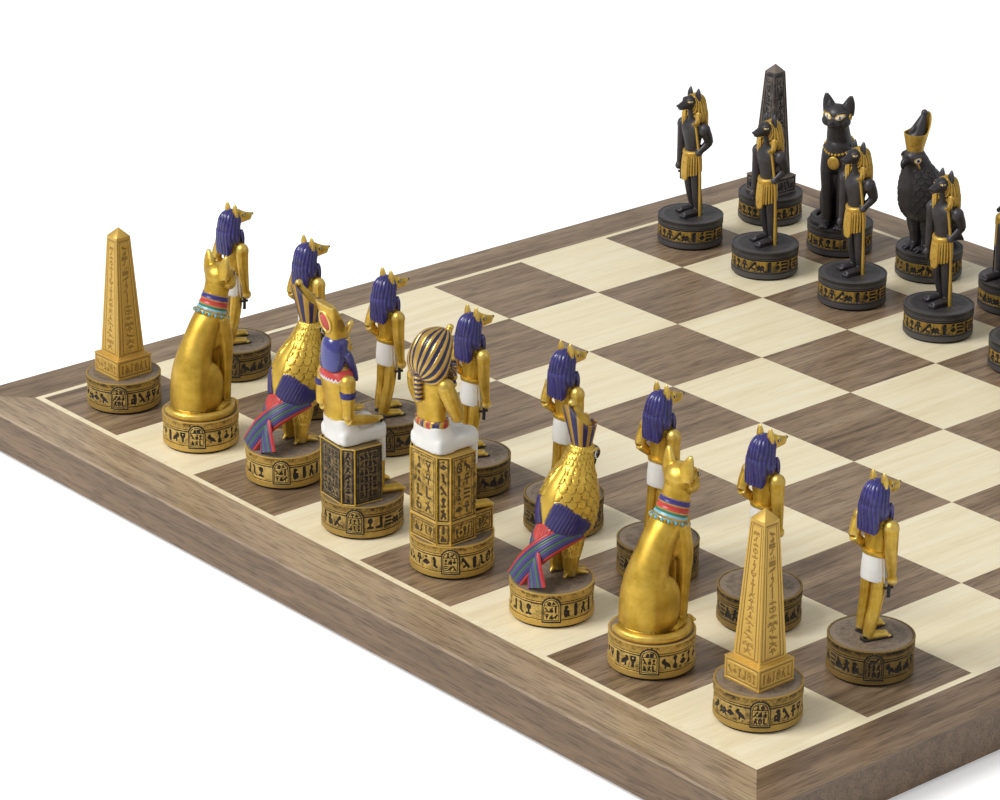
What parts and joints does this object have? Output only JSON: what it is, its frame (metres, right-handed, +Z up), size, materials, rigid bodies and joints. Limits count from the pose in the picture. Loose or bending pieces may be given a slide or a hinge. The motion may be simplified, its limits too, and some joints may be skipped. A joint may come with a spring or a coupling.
{
  "type": "chess set",
  "caption": "Chess set in ancient Egyptian style: a veneered wooden board with an inlaid line, with a gilt army and a black army of weighted figures on drums.",
  "frame": {"origin": "on the surface the board stands on, under the middle of the board", "axes": "+Z up; +X along the ranks from the a file to the h file; +Y up the files from rank 1, where the gold army stands, to rank 8"},
  "size_m": [0.445, 0.445, 0.1087],
  "materials": {
    "board_core": "raw fibreboard core",
    "backing_veneer": "sealed backing veneer",
    "dark_veneer": "satin lacquered walnut",
    "light_veneer": "satin lacquered maple",
    "border_veneer": "satin lacquered walnut",
    "edge_band": "satin lacquered walnut edge",
    "foot_pad": "dense black felt pad",
    "gold_casting": "cast resin painted antique gold with hand painted details",
    "black_casting": "cast resin painted black with gold painted details",
    "base_felt": "felt glued under the drum"
  },
  "bodies": {
    "board": {"core_panel": "board_core", "backing_sheet": "backing_veneer", "dark_squares": "dark_veneer", "light_squares": "light_veneer", "inlay_strips": "light_veneer", "border_front": "border_veneer", "border_right": "border_veneer", "border_back": "border_veneer", "border_left": "border_veneer", "edge_bands": "edge_band", "board_feet": "foot_pad"},
    "gold_rook_a1_man": {"gold_rook_a1": "gold_casting", "felt_gold_rook_a1": "base_felt"},
    "gold_pawn_a2_man": {"gold_pawn_a2": "gold_casting"},
    "gold_knight_b1_man": {"gold_knight_b1": "gold_casting", "felt_gold_knight_b1": "base_felt"},
    "gold_pawn_b2_man": {"gold_pawn_b2": "gold_casting"},
    "gold_bishop_c1_man": {"gold_bishop_c1": "gold_casting", "felt_gold_bishop_c1": "base_felt"},
    "gold_pawn_c2_man": {"gold_pawn_c2": "gold_casting"},
    "gold_queen_d1_man": {"gold_queen_d1": "gold_casting", "felt_gold_queen_d1": "base_felt"},
    "gold_pawn_d2_man": {"gold_pawn_d2": "gold_casting"},
    "gold_king_e1_man": {"gold_king_e1": "gold_casting", "felt_gold_king_e1": "base_felt"},
    "gold_pawn_e2_man": {"gold_pawn_e2": "gold_casting"},
    "gold_bishop_f1_man": {"gold_bishop_f1": "gold_casting", "felt_gold_bishop_f1": "base_felt"},
    "gold_pawn_f2_man": {"gold_pawn_f2": "gold_casting"},
    "gold_knight_g1_man": {"gold_knight_g1": "gold_casting", "felt_gold_knight_g1": "base_felt"},
    "gold_pawn_g2_man": {"gold_pawn_g2": "gold_casting"},
    "gold_rook_h1_man": {"gold_rook_h1": "gold_casting", "felt_gold_rook_h1": "base_felt"},
    "gold_pawn_h2_man": {"gold_pawn_h2": "gold_casting"},
    "black_rook_a8_man": {"black_rook_a8": "black_casting", "felt_black_rook_a8": "base_felt"},
    "black_pawn_a7_man": {"black_pawn_a7": "black_casting"},
    "black_knight_b8_man": {"black_knight_b8": "black_casting", "felt_black_knight_b8": "base_felt"},
    "black_pawn_b7_man": {"black_pawn_b7": "black_casting"},
    "black_bishop_c8_man": {"black_bishop_c8": "black_casting", "felt_black_bishop_c8": "base_felt"},
    "black_pawn_c7_man": {"black_pawn_c7": "black_casting"},
    "black_queen_d8_man": {"black_queen_d8": "black_casting", "felt_black_queen_d8": "base_felt"},
    "black_pawn_d7_man": {"black_pawn_d7": "black_casting"},
    "black_king_e8_man": {"black_king_e8": "black_casting", "felt_black_king_e8": "base_felt"},
    "black_pawn_e7_man": {"black_pawn_e7": "black_casting"},
    "black_bishop_f8_man": {"black_bishop_f8": "black_casting", "felt_black_bishop_f8": "base_felt"},
    "black_pawn_f7_man": {"black_pawn_f7": "black_casting"},
    "black_knight_g8_man": {"black_knight_g8": "black_casting", "felt_black_knight_g8": "base_felt"},
    "black_pawn_g7_man": {"black_pawn_g7": "black_casting"},
    "black_rook_h8_man": {"black_rook_h8": "black_casting", "felt_black_rook_h8": "base_felt"},
    "black_pawn_h7_man": {"black_pawn_h7": "black_casting"}
  },
  "joints": [
    {"name": "lift_gold_rook_a1", "type": "slide", "parent": "board", "child": "gold_rook_a1_man", "axis": [0, 0, 1], "range_m": [0, 0.12]},
    {"name": "lift_gold_pawn_a2", "type": "slide", "parent": "board", "child": "gold_pawn_a2_man", "axis": [0, 0, 1], "range_m": [0, 0.12]},
    {"name": "lift_gold_knight_b1", "type": "slide", "parent": "board", "child": "gold_knight_b1_man", "axis": [0, 0, 1], "range_m": [0, 0.12]},
    {"name": "lift_gold_pawn_b2", "type": "slide", "parent": "board", "child": "gold_pawn_b2_man", "axis": [0, 0, 1], "range_m": [0, 0.12]},
    {"name": "lift_gold_bishop_c1", "type": "slide", "parent": "board", "child": "gold_bishop_c1_man", "axis": [0, 0, 1], "range_m": [0, 0.12]},
    {"name": "lift_gold_pawn_c2", "type": "slide", "parent": "board", "child": "gold_pawn_c2_man", "axis": [0, 0, 1], "range_m": [0, 0.12]},
    {"name": "lift_gold_queen_d1", "type": "slide", "parent": "board", "child": "gold_queen_d1_man", "axis": [0, 0, 1], "range_m": [0, 0.12]},
    {"name": "lift_gold_pawn_d2", "type": "slide", "parent": "board", "child": "gold_pawn_d2_man", "axis": [0, 0, 1], "range_m": [0, 0.12]},
    {"name": "lift_gold_king_e1", "type": "slide", "parent": "board", "child": "gold_king_e1_man", "axis": [0, 0, 1], "range_m": [0, 0.12]},
    {"name": "lift_gold_pawn_e2", "type": "slide", "parent": "board", "child": "gold_pawn_e2_man", "axis": [0, 0, 1], "range_m": [0, 0.12]},
    {"name": "lift_gold_bishop_f1", "type": "slide", "parent": "board", "child": "gold_bishop_f1_man", "axis": [0, 0, 1], "range_m": [0, 0.12]},
    {"name": "lift_gold_pawn_f2", "type": "slide", "parent": "board", "child": "gold_pawn_f2_man", "axis": [0, 0, 1], "range_m": [0, 0.12]},
    {"name": "lift_gold_knight_g1", "type": "slide", "parent": "board", "child": "gold_knight_g1_man", "axis": [0, 0, 1], "range_m": [0, 0.12]},
    {"name": "lift_gold_pawn_g2", "type": "slide", "parent": "board", "child": "gold_pawn_g2_man", "axis": [0, 0, 1], "range_m": [0, 0.12]},
    {"name": "lift_gold_rook_h1", "type": "slide", "parent": "board", "child": "gold_rook_h1_man", "axis": [0, 0, 1], "range_m": [0, 0.12]},
    {"name": "lift_gold_pawn_h2", "type": "slide", "parent": "board", "child": "gold_pawn_h2_man", "axis": [0, 0, 1], "range_m": [0, 0.12]},
    {"name": "lift_black_rook_a8", "type": "slide", "parent": "board", "child": "black_rook_a8_man", "axis": [0, 0, 1], "range_m": [0, 0.12]},
    {"name": "lift_black_pawn_a7", "type": "slide", "parent": "board", "child": "black_pawn_a7_man", "axis": [0, 0, 1], "range_m": [0, 0.12]},
    {"name": "lift_black_knight_b8", "type": "slide", "parent": "board", "child": "black_knight_b8_man", "axis": [0, 0, 1], "range_m": [0, 0.12]},
    {"name": "lift_black_pawn_b7", "type": "slide", "parent": "board", "child": "black_pawn_b7_man", "axis": [0, 0, 1], "range_m": [0, 0.12]},
    {"name": "lift_black_bishop_c8", "type": "slide", "parent": "board", "child": "black_bishop_c8_man", "axis": [0, 0, 1], "range_m": [0, 0.12]},
    {"name": "lift_black_pawn_c7", "type": "slide", "parent": "board", "child": "black_pawn_c7_man", "axis": [0, 0, 1], "range_m": [0, 0.12]},
    {"name": "lift_black_queen_d8", "type": "slide", "parent": "board", "child": "black_queen_d8_man", "axis": [0, 0, 1], "range_m": [0, 0.12]},
    {"name": "lift_black_pawn_d7", "type": "slide", "parent": "board", "child": "black_pawn_d7_man", "axis": [0, 0, 1], "range_m": [0, 0.12]},
    {"name": "lift_black_king_e8", "type": "slide", "parent": "board", "child": "black_king_e8_man", "axis": [0, 0, 1], "range_m": [0, 0.12]},
    {"name": "lift_black_pawn_e7", "type": "slide", "parent": "board", "child": "black_pawn_e7_man", "axis": [0, 0, 1], "range_m": [0, 0.12]},
    {"name": "lift_black_bishop_f8", "type": "slide", "parent": "board", "child": "black_bishop_f8_man", "axis": [0, 0, 1], "range_m": [0, 0.12]},
    {"name": "lift_black_pawn_f7", "type": "slide", "parent": "board", "child": "black_pawn_f7_man", "axis": [0, 0, 1], "range_m": [0, 0.12]},
    {"name": "lift_black_knight_g8", "type": "slide", "parent": "board", "child": "black_knight_g8_man", "axis": [0, 0, 1], "range_m": [0, 0.12]},
    {"name": "lift_black_pawn_g7", "type": "slide", "parent": "board", "child": "black_pawn_g7_man", "axis": [0, 0, 1], "range_m": [0, 0.12]},
    {"name": "lift_black_rook_h8", "type": "slide", "parent": "board", "child": "black_rook_h8_man", "axis": [0, 0, 1], "range_m": [0, 0.12]},
    {"name": "lift_black_pawn_h7", "type": "slide", "parent": "board", "child": "black_pawn_h7_man", "axis": [0, 0, 1], "range_m": [0, 0.12]}
  ]
}
